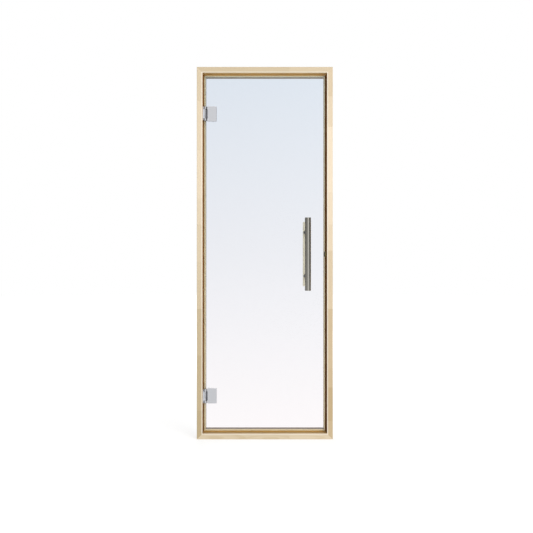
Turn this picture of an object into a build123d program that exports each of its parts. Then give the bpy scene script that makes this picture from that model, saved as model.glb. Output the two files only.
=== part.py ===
from build123d import *
import os

# Single glass sauna door in a rebated wood frame, hung on two offset glass hinges.
# Millimetres. +Z is up, the outside faces -Y, and +X is to the right from outside.
# The origin is the middle of the sill's underside, in line with the stop's face.

os.makedirs("parts", exist_ok=True)

# Frame: the outside is a 7 by 19 door module, the depth lines a sauna wall
frame_width = 690.0
frame_height = 1890.0
face_width = 30.0           # front face of every member
rebate_depth = 46.0         # from the front face back to the stop
stop_width = 12.0           # how far the stop stands into the opening past the face
stop_depth = 46.0           # from the stop's face to the back of the frame
arris_radius = 2.0

# Fixing screws through the jambs into the wall, in the middle of the rebate
fixing_radius = 3.0
fixing_head_radius = 6.0
fixing_end_distance = 120.0
fixings_per_jamb = 4

# Glass leaf and the seals that it closes on
glass_thickness = 8.0
glass_gap = 7.0             # between the glass edge and the reveal, all round
glass_corner_radius = 3.0
glass_edge_chamfer = 0.8
seal_width = 6.0            # the soft lip, along the stop's inner edge
seal_thickness = 2.7
seal_rounding = 1.2
seal_base_thickness = 1.0   # the flat base that covers the stop's face
seal_base_margin = 0.3      # base to the reveal
seal_clearance = 0.3

# Hinges: a leaf on the reveal, a barrel in front of the glass, a clamp on the glass
hinge_from_bottom = 216.0   # lower hinge centre above the floor
hinge_from_top = 234.0      # upper hinge centre below the frame's top
pivot_from_reveal = 9.8
pivot_from_glass = 14.0     # pin axis in front of the glass
pin_radius = 2.5
pin_clearance = 0.05
pin_head_radius = 4.0
pin_head_height = 1.2
knuckle_radius = 4.5
knuckle_height = 12.0
barrel_height = 46.0
knuckle_gap = 0.3
leaf_thickness = 3.0
leaf_height = 70.0
leaf_depth = 28.0
leaf_setback = 4.0          # from the frame's front face
leaf_corner_radius = 4.0
web_thickness = 7.0
leaf_screw_radius = 2.2
leaf_screw_head_radius = 4.2
leaf_screw_inset = 6.0
plate_width = 46.8
plate_height = 77.0
plate_thickness = 8.0
plate_from_pivot = 12.1
plate_corner_radius = 3.0
plate_edge_radius = 1.2
inner_plate_inset = 5.5     # the inner plate is smaller all round, hidden by the outer one
arm_run = 4.0               # how far the arm's front curve runs on over the plate
gasket_thickness = 1.0
gasket_tab_height = 64.0
gasket_tab_margin = 1.0     # tab's end to the stop's inner edge
clamp_screw_spacing = 44.0
clamp_boss_radius = 6.0
clamp_glass_hole_radius = 8.0
clamp_screw_radius = 2.6
clamp_screw_head_radius = 5.2
clamp_thread_radius = 2.1
clamp_thread_depth = 12.0

# Handle: a steel tube outside and a wood grip inside, on shared fixings
handle_from_edge = 90.0     # handle centre line to the glass's latch edge
handle_height = 940.0
post_spacing = 225.0
post_radius = 7.0
stud_radius = 4.0
stud_engagement = 10.0
stud_clearance = 0.1
post_glass_hole_radius = 6.0
washer_radius = 10.0
washer_thickness = 1.5
tube_radius = 15.0
tube_wall = 1.5
tube_length = 370.0         # over both caps
tube_standoff = 49.0        # tube axis to the glass's front face
cope_clearance = 0.05
cap_thickness = 3.0
cap_spigot_length = 12.0
cap_spigot_clearance = 0.1
cap_edge_radius = 1.0
grip_width = 42.0
grip_thickness = 22.0
grip_length = 332.0
grip_standoff = 35.0        # grip's near face to the glass's back face
grip_near_radius = 4.0
grip_palm_radius = 9.0
grip_end_radius = 3.0
saddle_length = 38.0
saddle_height = 15.0
saddle_thickness = 3.0

# Magnetic catch: a housing let into the latch jamb's stop, a keeper on the glass
catch_height = 24.0
catch_flange_thickness = 1.0
catch_margin = 0.2          # flange to the reveal, and to the stop's inner edge
catch_body_width = 9.4
catch_body_height = 17.0
catch_body_depth = 12.0
catch_body_clearance = 0.1
catch_seal_clearance = 1.0
magnet_width = 7.6
magnet_height = 14.0
magnet_recess = 3.0
magnet_clearance = 0.1
keeper_width = 4.4
keeper_height = 20.0
keeper_thickness = 1.5
keeper_edge_inset = 0.5
keeper_air_gap = 0.3

# Planes that the sizes above fix
member_width = face_width + stop_width
front_y = -rebate_depth
back_y = stop_depth
reveal_x = frame_width / 2 - face_width
sill_reveal_z = face_width
head_reveal_z = frame_height - face_width
stop_x = reveal_x - stop_width
stop_bottom_z = sill_reveal_z + stop_width
stop_top_z = head_reveal_z - stop_width

glass_back_y = -(seal_thickness + seal_clearance)
glass_front_y = glass_back_y - glass_thickness
glass_edge_x = reveal_x - glass_gap
glass_bottom_z = sill_reveal_z + glass_gap
glass_top_z = head_reveal_z - glass_gap

pivot_x = -reveal_x + pivot_from_reveal
pivot_y = glass_front_y - pivot_from_glass
hinge_heights = {"lower": hinge_from_bottom, "upper": frame_height - hinge_from_top}
plate_left_x = pivot_x + plate_from_pivot
plate_centre_x = plate_left_x + plate_width / 2
plate_back_y = glass_front_y - gasket_thickness
plate_front_y = plate_back_y - plate_thickness
inner_plate_front_y = glass_back_y + gasket_thickness
inner_plate_back_y = inner_plate_front_y + plate_thickness
outer_plate_size = (plate_width, plate_height)
inner_plate_size = tuple(side - 2 * inner_plate_inset for side in outer_plate_size)
knuckle_start = barrel_height / 2 + knuckle_gap
knuckle_end = knuckle_start + knuckle_height
bore_radius = pin_radius + pin_clearance

handle_x = glass_edge_x - handle_from_edge
tube_y = glass_front_y - tube_standoff
grip_near_y = glass_back_y + grip_standoff
grip_back_y = grip_near_y + grip_thickness
post_heights = {
    "lower": handle_height - post_spacing / 2,
    "upper": handle_height + post_spacing / 2,
}


def save(piece, name):
    """Label a finished piece and write it as a file of its own."""
    piece.part.label = name
    export_step(piece.part, f"parts/{name}.step")


def facing(y):
    """Sketch plane at depth y: X to the right, Y up, and extruding comes forward."""
    return Plane.XZ.offset(-y)


def mitre_plane(edge, distance, inward):
    """Corner cut at a distance along a member, facing the wood that is kept.

    The edge plane's X points into the opening and its Z along the member. inward is 1 at
    the member's start and -1 at its end.
    """
    return Plane(
        origin=edge.from_local_coords((0, 0, distance)),
        z_dir=edge.z_dir * inward - edge.x_dir,
    )


# Wood frame

def frame_member(edge, length, fixings=()):
    """A mitred length of the rebated section, with holes at the given distances.

    The edge plane sits at the start of the outer edge: its X points into the opening,
    its Y to the back and its Z along the member.
    """
    with BuildPart() as member:
        with BuildSketch(edge) as section:
            with BuildLine():
                Polyline(
                    (0, front_y),
                    (face_width, front_y),
                    (face_width, 0),
                    (member_width, 0),
                    (member_width, back_y),
                    (0, back_y),
                    close=True,
                )
            make_face()
            fillet(section.vertices().sort_by_distance((face_width, 0, 0))[1:], arris_radius)
        extrude(amount=length)
        split(bisect_by=mitre_plane(edge, 0, 1), keep=Keep.TOP)
        split(bisect_by=mitre_plane(edge, length, -1), keep=Keep.TOP)
        if fixings:
            mouths = [
                Plane(
                    origin=edge.from_local_coords((face_width, front_y / 2, distance)),
                    z_dir=edge.x_dir,
                )
                for distance in fixings
            ]
            with Locations(*mouths):
                CounterSinkHole(fixing_radius, fixing_head_radius, depth=face_width)
    return member


fixing_pitch = (frame_height - 2 * fixing_end_distance) / (fixings_per_jamb - 1)
fixing_places = [fixing_end_distance + n * fixing_pitch for n in range(fixings_per_jamb)]

hinge_jamb = frame_member(
    Plane(origin=(-frame_width / 2, 0, 0), x_dir=(1, 0, 0), z_dir=(0, 0, 1)),
    frame_height,
    fixing_places,
)
save(hinge_jamb, "hinge_jamb")

head_rail = frame_member(
    Plane(origin=(-frame_width / 2, 0, frame_height), x_dir=(0, 0, -1), z_dir=(1, 0, 0)),
    frame_width,
)
save(head_rail, "head_rail")

sill_rail = frame_member(
    Plane(origin=(frame_width / 2, 0, 0), x_dir=(0, 0, 1), z_dir=(-1, 0, 0)),
    frame_width,
)
save(sill_rail, "sill_rail")

# The latch jamb also has the pocket for the catch, cut into its stop
catch_x = (stop_x + reveal_x) / 2
with BuildPart() as latch_jamb:
    add(
        frame_member(
            Plane(origin=(frame_width / 2, 0, frame_height), x_dir=(-1, 0, 0), z_dir=(0, 0, -1)),
            frame_height,
            fixing_places,
        ).part
    )
    with BuildSketch(facing(catch_body_depth + catch_body_clearance)):
        with Locations((catch_x, handle_height)):
            Rectangle(
                catch_body_width + 2 * catch_body_clearance,
                catch_body_height + 2 * catch_body_clearance,
            )
    extrude(amount=catch_body_depth + catch_body_clearance, mode=Mode.SUBTRACT)
save(latch_jamb, "latch_jamb")


# Seals round the stop: one drawn section, mitred where two lengths meet

def seal_strip(edge, start, end, mitred_start=True, mitred_end=True):
    """A length of seal on the stop's face, whose lip the closed glass all but touches.

    The edge plane sits where the reveal meets the stop, at a corner of the rebate: its X
    points into the opening, its Y to the back and its Z along the strip.
    """
    lip_start = stop_width - seal_width
    with BuildPart() as strip:
        with BuildSketch(edge.offset(start)) as section:
            with BuildLine():
                Polyline(
                    (seal_base_margin, 0),
                    (stop_width, 0),
                    (stop_width, -seal_thickness),
                    (lip_start, -seal_thickness),
                    (lip_start, -seal_base_thickness),
                    (seal_base_margin, -seal_base_thickness),
                    close=True,
                )
            make_face()
            lip_corners = section.vertices().sort_by(Axis.Y)[:2]
            fillet(lip_corners, seal_rounding)
        extrude(amount=end - start)
        if mitred_start:
            split(bisect_by=mitre_plane(edge, start, 1), keep=Keep.TOP)
        if mitred_end:
            split(bisect_by=mitre_plane(edge, end, -1), keep=Keep.TOP)
    return strip


rebate_width = 2 * reveal_x
rebate_height = head_reveal_z - sill_reveal_z
hinge_side_edge = Plane(origin=(-reveal_x, 0, sill_reveal_z), x_dir=(1, 0, 0), z_dir=(0, 0, 1))
latch_side_edge = Plane(origin=(reveal_x, 0, head_reveal_z), x_dir=(-1, 0, 0), z_dir=(0, 0, -1))
head_edge = Plane(origin=(-reveal_x, 0, head_reveal_z), x_dir=(0, 0, -1), z_dir=(1, 0, 0))
sill_edge = Plane(origin=(reveal_x, 0, sill_reveal_z), x_dir=(0, 0, 1), z_dir=(-1, 0, 0))

save(seal_strip(hinge_side_edge, 0, rebate_height), "seal_hinge_side")
save(seal_strip(head_edge, 0, rebate_width), "seal_head")
save(seal_strip(sill_edge, 0, rebate_width), "seal_sill")

# On the latch side the strip stops short of the catch, measured down from the head
catch_break = catch_height / 2 + catch_seal_clearance
above_catch = head_reveal_z - handle_height - catch_break
below_catch = head_reveal_z - handle_height + catch_break
save(seal_strip(latch_side_edge, 0, above_catch, mitred_end=False), "seal_latch_side_upper")
save(
    seal_strip(latch_side_edge, below_catch, rebate_height, mitred_start=False),
    "seal_latch_side_lower",
)


# Glass leaf, drilled for the clamps and the handle

def clamp_screw_places(centre_z):
    """The two screw centres of one clamp, as (x, z)."""
    return [(plate_centre_x, centre_z + side * clamp_screw_spacing / 2) for side in (-1, 1)]


with BuildPart() as glass_pane:
    with BuildSketch(facing(glass_back_y)):
        with Locations((0, (glass_bottom_z + glass_top_z) / 2)):
            RectangleRounded(2 * glass_edge_x, glass_top_z - glass_bottom_z, glass_corner_radius)
        with Locations(*[(handle_x, z) for z in post_heights.values()]):
            Circle(post_glass_hole_radius, mode=Mode.SUBTRACT)
        for hinge_z in hinge_heights.values():
            with Locations(*clamp_screw_places(hinge_z)):
                Circle(clamp_glass_hole_radius, mode=Mode.SUBTRACT)
    extrude(amount=glass_thickness)
    faces_by_depth = glass_pane.faces().filter_by(Axis.Y).sort_by(Axis.Y)
    outline = faces_by_depth[0].outer_wire().edges() + faces_by_depth[-1].outer_wire().edges()
    chamfer(outline, glass_edge_chamfer)
save(glass_pane, "glass_pane")


# Hinges

def hinge_leaf(centre_z):
    """Leaf on the reveal with the web and the fixed barrel that it carries."""
    leaf_centre_y = front_y + leaf_setback + leaf_depth / 2
    screw_y = leaf_depth / 2 - leaf_screw_inset
    screw_z = leaf_height / 2 - leaf_screw_inset
    with BuildPart() as leaf:
        with BuildSketch(Plane.YZ.offset(-reveal_x)):
            with Locations((leaf_centre_y, centre_z)):
                RectangleRounded(leaf_depth, leaf_height, leaf_corner_radius)
        extrude(amount=leaf_thickness)
        with Locations(
            *[
                Plane(
                    origin=(-reveal_x + leaf_thickness, leaf_centre_y + y, centre_z + z),
                    z_dir=(1, 0, 0),
                )
                for y in (-screw_y, screw_y)
                for z in (-screw_z, screw_z)
            ]
        ):
            CounterSinkHole(leaf_screw_radius, leaf_screw_head_radius, depth=leaf_thickness)
        with BuildSketch(Plane.XY.offset(centre_z - barrel_height / 2)):
            with Locations((pivot_x, pivot_y)):
                Circle(knuckle_radius)
            with Locations((pivot_x - pivot_from_reveal / 2, pivot_y)):
                Rectangle(pivot_from_reveal, web_thickness)
            with Locations((pivot_x, pivot_y)):
                Circle(bore_radius, mode=Mode.SUBTRACT)
        extrude(amount=barrel_height)
    return leaf


def hinge_pin(centre_z):
    """Headed pin through the barrel and both knuckles."""
    reach = knuckle_end + knuckle_gap
    with BuildPart() as pin:
        with BuildSketch(Plane.XY.offset(centre_z - reach)):
            with Locations((pivot_x, pivot_y)):
                Circle(pin_radius)
        extrude(amount=2 * reach)
        for z, rise in ((centre_z + reach, pin_head_height), (centre_z - reach, -pin_head_height)):
            with BuildSketch(Plane.XY.offset(z)):
                with Locations((pivot_x, pivot_y)):
                    Circle(pin_head_radius)
            extrude(amount=rise)
        rims = pin.edges().filter_by(GeomType.CIRCLE).sort_by(Axis.Z)
        fillet([rims[0], rims[-1]], pin_head_height / 2)
    return pin


def hinge_plate_outer(centre_z):
    """Outer clamp plate with two swept arms that end in the knuckles round the pin."""
    knuckle_front = (pivot_x, pivot_y - knuckle_radius)
    knuckle_back = (pivot_x, pivot_y + knuckle_radius)
    front_end = (plate_left_x + arm_run, plate_front_y)
    back_end = (plate_left_x, plate_back_y)
    front_middle = (Vector(*knuckle_front) + Vector(*front_end)) / 2
    back_middle = (Vector(*knuckle_back) + Vector(*back_end)) / 2
    with BuildPart() as plate:
        with BuildSketch(facing(plate_back_y)):
            with Locations((plate_centre_x, centre_z)):
                RectangleRounded(*outer_plate_size, plate_corner_radius)
        extrude(amount=plate_thickness)
        fillet(plate.faces().sort_by(Axis.Y)[0].outer_wire().edges(), plate_edge_radius)
        # Each arm leaves the plate's face and back in an ogee of two tangent arcs
        for low in (centre_z - knuckle_end, centre_z + knuckle_start):
            with BuildSketch(Plane.XY.offset(low)):
                with BuildLine():
                    TangentArc(knuckle_front, front_middle, tangent=(1, 0))
                    TangentArc(front_end, front_middle, tangent=(-1, 0))
                    Polyline(front_end, (front_end[0], plate_back_y), back_end)
                    TangentArc(back_end, back_middle, tangent=(-1, 0))
                    TangentArc(knuckle_back, back_middle, tangent=(1, 0))
                    Line(knuckle_back, knuckle_front)
                make_face()
                with Locations((pivot_x, pivot_y)):
                    Circle(knuckle_radius)
                    Circle(bore_radius, mode=Mode.SUBTRACT)
            extrude(amount=knuckle_height)
        # Bosses reach through the glass to the inner plate and take its screws
        with BuildSketch(facing(inner_plate_front_y)):
            with Locations(*clamp_screw_places(centre_z)):
                Circle(clamp_boss_radius)
        extrude(amount=inner_plate_front_y - plate_back_y)
        with BuildSketch(facing(inner_plate_front_y)):
            with Locations(*clamp_screw_places(centre_z)):
                Circle(clamp_thread_radius)
        extrude(amount=clamp_thread_depth, mode=Mode.SUBTRACT)
    return plate


def hinge_plate_inner(centre_z):
    """Inner clamp plate with two countersunk screw holes."""
    with BuildPart() as plate:
        with BuildSketch(facing(inner_plate_back_y)):
            with Locations((plate_centre_x, centre_z)):
                RectangleRounded(*inner_plate_size, plate_corner_radius)
        extrude(amount=plate_thickness)
        fillet(plate.faces().sort_by(Axis.Y)[-1].outer_wire().edges(), plate_edge_radius)
        heads = [
            Plane(origin=(x, inner_plate_back_y, z), z_dir=(0, 1, 0))
            for x, z in clamp_screw_places(centre_z)
        ]
        with Locations(*heads):
            CounterSinkHole(clamp_screw_radius, clamp_screw_head_radius, depth=plate_thickness)
    return plate


def hinge_gasket(centre_z, back_y_of_gasket, plate_size, tab_width=0):
    """Gasket between a clamp plate and the glass, if asked with a tab behind the barrel."""
    with BuildPart() as gasket:
        with BuildSketch(facing(back_y_of_gasket)):
            with Locations((plate_centre_x, centre_z)):
                RectangleRounded(*plate_size, plate_corner_radius)
            if tab_width > 0:
                with Locations((plate_left_x - tab_width, centre_z)):
                    Rectangle(
                        tab_width + plate_corner_radius,
                        gasket_tab_height,
                        align=(Align.MIN, Align.CENTER),
                    )
            with Locations(*clamp_screw_places(centre_z)):
                Circle(clamp_glass_hole_radius, mode=Mode.SUBTRACT)
        extrude(amount=gasket_thickness)
    return gasket


gasket_tab_width = plate_left_x - (-stop_x + gasket_tab_margin)
for place, hinge_z in hinge_heights.items():
    save(hinge_leaf(hinge_z), f"hinge_leaf_{place}")
    save(hinge_pin(hinge_z), f"hinge_pin_{place}")
    save(hinge_plate_outer(hinge_z), f"hinge_plate_outer_{place}")
    save(hinge_plate_inner(hinge_z), f"hinge_plate_inner_{place}")
    outer_gasket = hinge_gasket(hinge_z, glass_front_y, outer_plate_size, gasket_tab_width)
    save(outer_gasket, f"hinge_gasket_outer_{place}")
    inner_gasket = hinge_gasket(hinge_z, inner_plate_front_y, inner_plate_size)
    save(inner_gasket, f"hinge_gasket_inner_{place}")


# Handle

tube_bottom_z = handle_height - tube_length / 2 + cap_thickness
tube_top_z = handle_height + tube_length / 2 - cap_thickness
tube_bore_radius = tube_radius - tube_wall
with BuildPart() as handle_tube:
    with BuildSketch(Plane.XY.offset(tube_bottom_z)):
        with Locations((handle_x, tube_y)):
            Circle(tube_radius)
            Circle(tube_bore_radius, mode=Mode.SUBTRACT)
    extrude(amount=tube_top_z - tube_bottom_z)
save(handle_tube, "handle_tube")

for place, seat_z, outward in (("bottom", tube_bottom_z, -1), ("top", tube_top_z, 1)):
    with BuildPart() as cap:
        with BuildSketch(Plane.XY.offset(seat_z)):
            with Locations((handle_x, tube_y)):
                Circle(tube_radius)
        extrude(amount=outward * cap_thickness)
        outer_face = cap.faces().filter_by(GeomType.PLANE).sort_by(Axis.Z)[-1 if outward > 0 else 0]
        fillet(outer_face.edges(), cap_edge_radius)
        with BuildSketch(Plane.XY.offset(seat_z)):
            with Locations((handle_x, tube_y)):
                Circle(tube_bore_radius - cap_spigot_clearance)
        extrude(amount=-outward * cap_spigot_length)
    save(cap, f"handle_cap_{place}")


def washer(front_of_washer, height, sleeve):
    """Washer that keeps steel off the glass, with a sleeve through the hole if asked."""
    back_of_washer = front_of_washer + washer_thickness
    with BuildPart() as ring:
        with BuildSketch(facing(back_of_washer)):
            with Locations((handle_x, height)):
                Circle(washer_radius)
        extrude(amount=washer_thickness)
        if sleeve:
            with BuildSketch(facing(back_of_washer + glass_thickness)):
                with Locations((handle_x, height)):
                    Circle(post_glass_hole_radius - stud_clearance)
            extrude(amount=glass_thickness)
        with Locations(Plane(origin=(handle_x, front_of_washer, height), z_dir=(0, -1, 0))):
            Hole(stud_radius + stud_clearance)
    return ring


def outer_post(height):
    """Post coped to the tube, with the stud that runs through the glass."""
    start_y = glass_front_y - washer_thickness
    stud_end_y = glass_back_y + washer_thickness + stud_engagement
    with BuildPart() as post:
        with BuildSketch(facing(start_y)):
            with Locations((handle_x, height)):
                Circle(post_radius)
        extrude(amount=start_y - tube_y)
        with BuildSketch(Plane.XY.offset(height - 2 * post_radius)):
            with Locations((handle_x, tube_y)):
                Circle(tube_radius + cope_clearance)
        extrude(amount=4 * post_radius, mode=Mode.SUBTRACT)
        with BuildSketch(facing(stud_end_y)):
            with Locations((handle_x, height)):
                Circle(stud_radius)
        extrude(amount=stud_end_y - start_y)
    return post


def inner_post(height):
    """Post from the glass to the saddle, bored for the stud."""
    start_y = glass_back_y + washer_thickness
    end_y = grip_near_y - saddle_thickness
    with BuildPart() as post:
        with BuildSketch(facing(end_y)):
            with Locations((handle_x, height)):
                Circle(post_radius)
        extrude(amount=end_y - start_y)
        with BuildSketch(facing(start_y + stud_engagement + stud_clearance)):
            with Locations((handle_x, height)):
                Circle(stud_radius + stud_clearance)
        extrude(amount=stud_engagement + stud_clearance, mode=Mode.SUBTRACT)
    return post


def saddle(height):
    """Long round-ended plate that spreads the post over the grip."""
    with BuildPart() as plate:
        with BuildSketch(facing(grip_near_y)):
            with Locations((handle_x, height)):
                SlotOverall(saddle_length, saddle_height)
        extrude(amount=saddle_thickness)
    return plate


for place, post_z in post_heights.items():
    save(washer(glass_front_y - washer_thickness, post_z, True), f"outer_washer_{place}")
    save(washer(glass_back_y, post_z, False), f"inner_washer_{place}")
    save(outer_post(post_z), f"outer_post_{place}")
    save(inner_post(post_z), f"inner_post_{place}")
    save(saddle(post_z), f"handle_saddle_{place}")

with BuildPart() as wooden_grip:
    with BuildSketch(Plane.XY.offset(handle_height - grip_length / 2)) as grip_section:
        with Locations((handle_x, (grip_near_y + grip_back_y) / 2)):
            Rectangle(grip_width, grip_thickness)
        corners = grip_section.vertices().sort_by(Axis.Y)
        fillet(corners[:2], grip_near_radius)
        fillet(grip_section.vertices().sort_by(Axis.Y)[-2:], grip_palm_radius)
    extrude(amount=grip_length)
    grip_ends = wooden_grip.faces().filter_by(Axis.Z)
    fillet(grip_ends.edges(), grip_end_radius)
save(wooden_grip, "wooden_grip")


# Catch

with BuildPart() as catch_housing:
    with BuildSketch(facing(0)):
        with Locations((catch_x, handle_height)):
            Rectangle(stop_width - 2 * catch_margin, catch_height)
    extrude(amount=catch_flange_thickness)
    with BuildSketch(facing(catch_body_depth)):
        with Locations((catch_x, handle_height)):
            Rectangle(catch_body_width, catch_body_height)
    extrude(amount=catch_body_depth)
    with BuildSketch(facing(magnet_recess - catch_flange_thickness)):
        with Locations((catch_x, handle_height)):
            Rectangle(magnet_width + 2 * magnet_clearance, magnet_height + 2 * magnet_clearance)
    extrude(amount=magnet_recess, mode=Mode.SUBTRACT)
save(catch_housing, "catch_housing")

keeper_back_y = glass_back_y + keeper_thickness
magnet_back_y = magnet_recess - catch_flange_thickness
with BuildPart() as catch_magnet:
    with BuildSketch(facing(magnet_back_y)):
        with Locations((catch_x, handle_height)):
            Rectangle(magnet_width, magnet_height)
    extrude(amount=magnet_back_y - keeper_back_y - keeper_air_gap)
save(catch_magnet, "catch_magnet")

with BuildPart() as catch_keeper:
    with BuildSketch(facing(keeper_back_y)):
        with Locations((glass_edge_x - keeper_edge_inset - keeper_width / 2, handle_height)):
            Rectangle(keeper_width, keeper_height)
    extrude(amount=keeper_thickness)
save(catch_keeper, "catch_keeper")
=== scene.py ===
"""Visual model of a glass sauna door in a pale wood frame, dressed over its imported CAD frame.

Every length is in metres, +Z is up, and the outside of the door faces -Y. The script loads
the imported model, dresses its nodes, adds the small pieces that the CAD model leaves out,
and sets up the studio and the camera.
"""

import logging
import math
from dataclasses import dataclass
from enum import Enum
from typing import NamedTuple

import bpy
import numpy as np
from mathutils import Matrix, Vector

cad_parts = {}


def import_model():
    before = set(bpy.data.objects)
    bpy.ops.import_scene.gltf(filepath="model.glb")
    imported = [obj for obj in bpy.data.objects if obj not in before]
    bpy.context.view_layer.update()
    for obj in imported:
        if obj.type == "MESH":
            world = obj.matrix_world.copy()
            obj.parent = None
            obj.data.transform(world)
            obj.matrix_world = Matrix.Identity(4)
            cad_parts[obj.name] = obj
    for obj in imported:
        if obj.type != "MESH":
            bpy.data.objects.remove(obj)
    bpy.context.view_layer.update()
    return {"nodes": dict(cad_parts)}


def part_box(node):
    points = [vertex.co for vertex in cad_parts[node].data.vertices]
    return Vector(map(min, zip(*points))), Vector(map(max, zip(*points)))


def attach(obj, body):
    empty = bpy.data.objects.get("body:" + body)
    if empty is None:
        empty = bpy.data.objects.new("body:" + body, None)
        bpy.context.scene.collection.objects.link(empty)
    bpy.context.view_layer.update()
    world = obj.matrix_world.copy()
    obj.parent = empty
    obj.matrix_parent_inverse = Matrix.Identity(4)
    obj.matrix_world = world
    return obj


LOG = logging.getLogger("sauna_door")
MM = 0.001
PLACES = ("lower", "upper")
MIRRORED = 0.5    # a ray whose Glossy Depth is past this has been mirrored

Nodes = dict[str, bpy.types.Object]


class Body(Enum):
    """The two bodies that pieces ride on."""

    FRAME = "frame"
    DOOR = "door"


class Run(Enum):
    """Which way a wood member runs, as the number of its axis."""

    LEVEL = 0
    UPRIGHT = 2


class Drive(Enum):
    """Recess in a screw's head, as the number of its lobes."""

    HEXAGON = 6
    CROSS = 4


class Board(NamedTuple):
    """One block of a finger-jointed member.

    start is its lower or left end as a share of the member's length. tone is 0 for the
    darkest block and 1 for the palest.
    """

    start: float
    tone: float


class BoardPlace(NamedTuple):
    """Where a point lies in its member, in metres, and the tone of its board, 0 to 1."""

    along: bpy.types.NodeSocket
    across: bpy.types.NodeSocket
    depth: bpy.types.NodeSocket
    tone: bpy.types.Node


class MemberLook(NamedTuple):
    """The boards of one frame member, with painted shade in its rebate and a painted highlight.

    dark_board is its darkest board, as a tint of the pale wood. The next two tints are painted
    shade in its rebate, at the front and in the corner by the stop, and the third is painted
    shade on its stop's inner side. The reach in mm says how far the painted rebate shade spreads
    round the eased inner arris, and the strength says how strong the painted highlight on the
    face beside it is, 0 to 1.
    """

    node: str
    run: Run
    dark_board: str
    reveal_shade_tint: str
    corner_shade_tint: str
    stop_shade_tint: str
    rebate_shade_reach_mm: float
    arris_highlight_strength: float
    boards: tuple[Board, ...]


# Shared helpers


def linear(hex_colour: str) -> tuple[float, float, float, float]:
    """Turns an sRGB hex colour such as "E7D8BB" into linear red, green, blue and alpha.

    Args:
        hex_colour: six hex digits.

    Returns:
        The three linear channels, and alpha 1.
    """
    channels = np.array([int(hex_colour[i : i + 2], 16) for i in (0, 2, 4)]) / 255
    flat = np.where(channels <= 0.04045, channels / 12.92, ((channels + 0.055) / 1.055) ** 2.4)
    return (*flat.tolist(), 1.0)


def grey(level: float) -> tuple[float, float, float, float]:
    """Returns an opaque linear grey."""
    return (level, level, level, 1.0)


def add_node(
    tree: bpy.types.NodeTree, kind: str, inputs: dict | None = None, **settings
) -> bpy.types.Node:
    """Adds a shader node with its settings, and sets or links its inputs.

    Args:
        tree: where the node goes.
        kind: the node's type without its leading ShaderNode.
        inputs: an input's name or number to a plain value, an output socket, or a node,
            which stands for its first output in use.
        settings: attributes of the node itself.

    Returns:
        The new node.
    """
    node = tree.nodes.new(f"ShaderNode{kind}")
    for name, value in settings.items():
        setattr(node, name, value)
    for name, value in (inputs or {}).items():
        if isinstance(value, bpy.types.Node):
            value = next(output for output in value.outputs if output.enabled)
        if isinstance(value, bpy.types.NodeSocket):
            tree.links.new(value, node.inputs[name])
        else:
            node.inputs[name].default_value = value
    return node


def set_stops(
    ramp_node: bpy.types.Node, stops: list[tuple[float, tuple]], stepped: bool = False
) -> bpy.types.Node:
    """Gives a Color Ramp node its stops.

    Args:
        ramp_node: the Color Ramp node.
        stops: pairs of place and linear colour, in rising order of place.
        stepped: True for flat steps, False for smooth blends.

    Returns:
        The same node.
    """
    ramp = ramp_node.color_ramp
    ramp.interpolation = "CONSTANT" if stepped else "LINEAR"
    while len(ramp.elements) > 1:
        ramp.elements.remove(ramp.elements[-1])
    ramp.elements[0].position, ramp.elements[0].color = stops[0]
    for place, colour in stops[1:]:
        ramp.elements.new(place).color = colour
    return ramp_node


def new_material(name: str) -> tuple[bpy.types.Material, bpy.types.NodeTree]:
    """Makes an empty node material.

    Args:
        name: the material's name.

    Returns:
        The material and its cleared node tree.
    """
    material = bpy.data.materials.new(name)
    material.use_nodes = True
    material.node_tree.nodes.clear()
    return material, material.node_tree


def object_axes(tree: bpy.types.NodeTree) -> bpy.types.Node:
    """Adds the object's own coordinates, split into X, Y and Z outputs."""
    place = add_node(tree, "TexCoord").outputs["Object"]
    return add_node(tree, "SeparateXYZ", {0: place})


def outside_outline(
    tree: bpy.types.NodeTree, axes: bpy.types.Node, outline: "Outline"
) -> bpy.types.Node:
    """Adds the distance by which a point lies outside an upright rectangle.

    It is the larger of |x| - half width and |z - middle| - half height, so it is negative
    inside and grows evenly outwards on all four sides.

    Args:
        tree: where the nodes go.
        axes: the node that object_axes made.
        outline: the rectangle.

    Returns:
        The node that holds the distance in metres.
    """
    level = add_node(tree, "Math", {0: axes.outputs["Z"], 1: outline.middle}, operation="SUBTRACT")
    rise = add_node(tree, "Math", {0: level}, operation="ABSOLUTE")
    above = add_node(tree, "Math", {0: rise, 1: outline.half_height}, operation="SUBTRACT")
    side = add_node(tree, "Math", {0: axes.outputs["X"]}, operation="ABSOLUTE")
    beside = add_node(tree, "Math", {0: side, 1: outline.half_width}, operation="SUBTRACT")
    return add_node(tree, "Math", {0: above, 1: beside}, operation="MAXIMUM")


def dress(piece: bpy.types.Object, material: bpy.types.Material) -> None:
    """Gives every face of an object one material."""
    piece.data.materials.clear()
    piece.data.materials.append(material)


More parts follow.
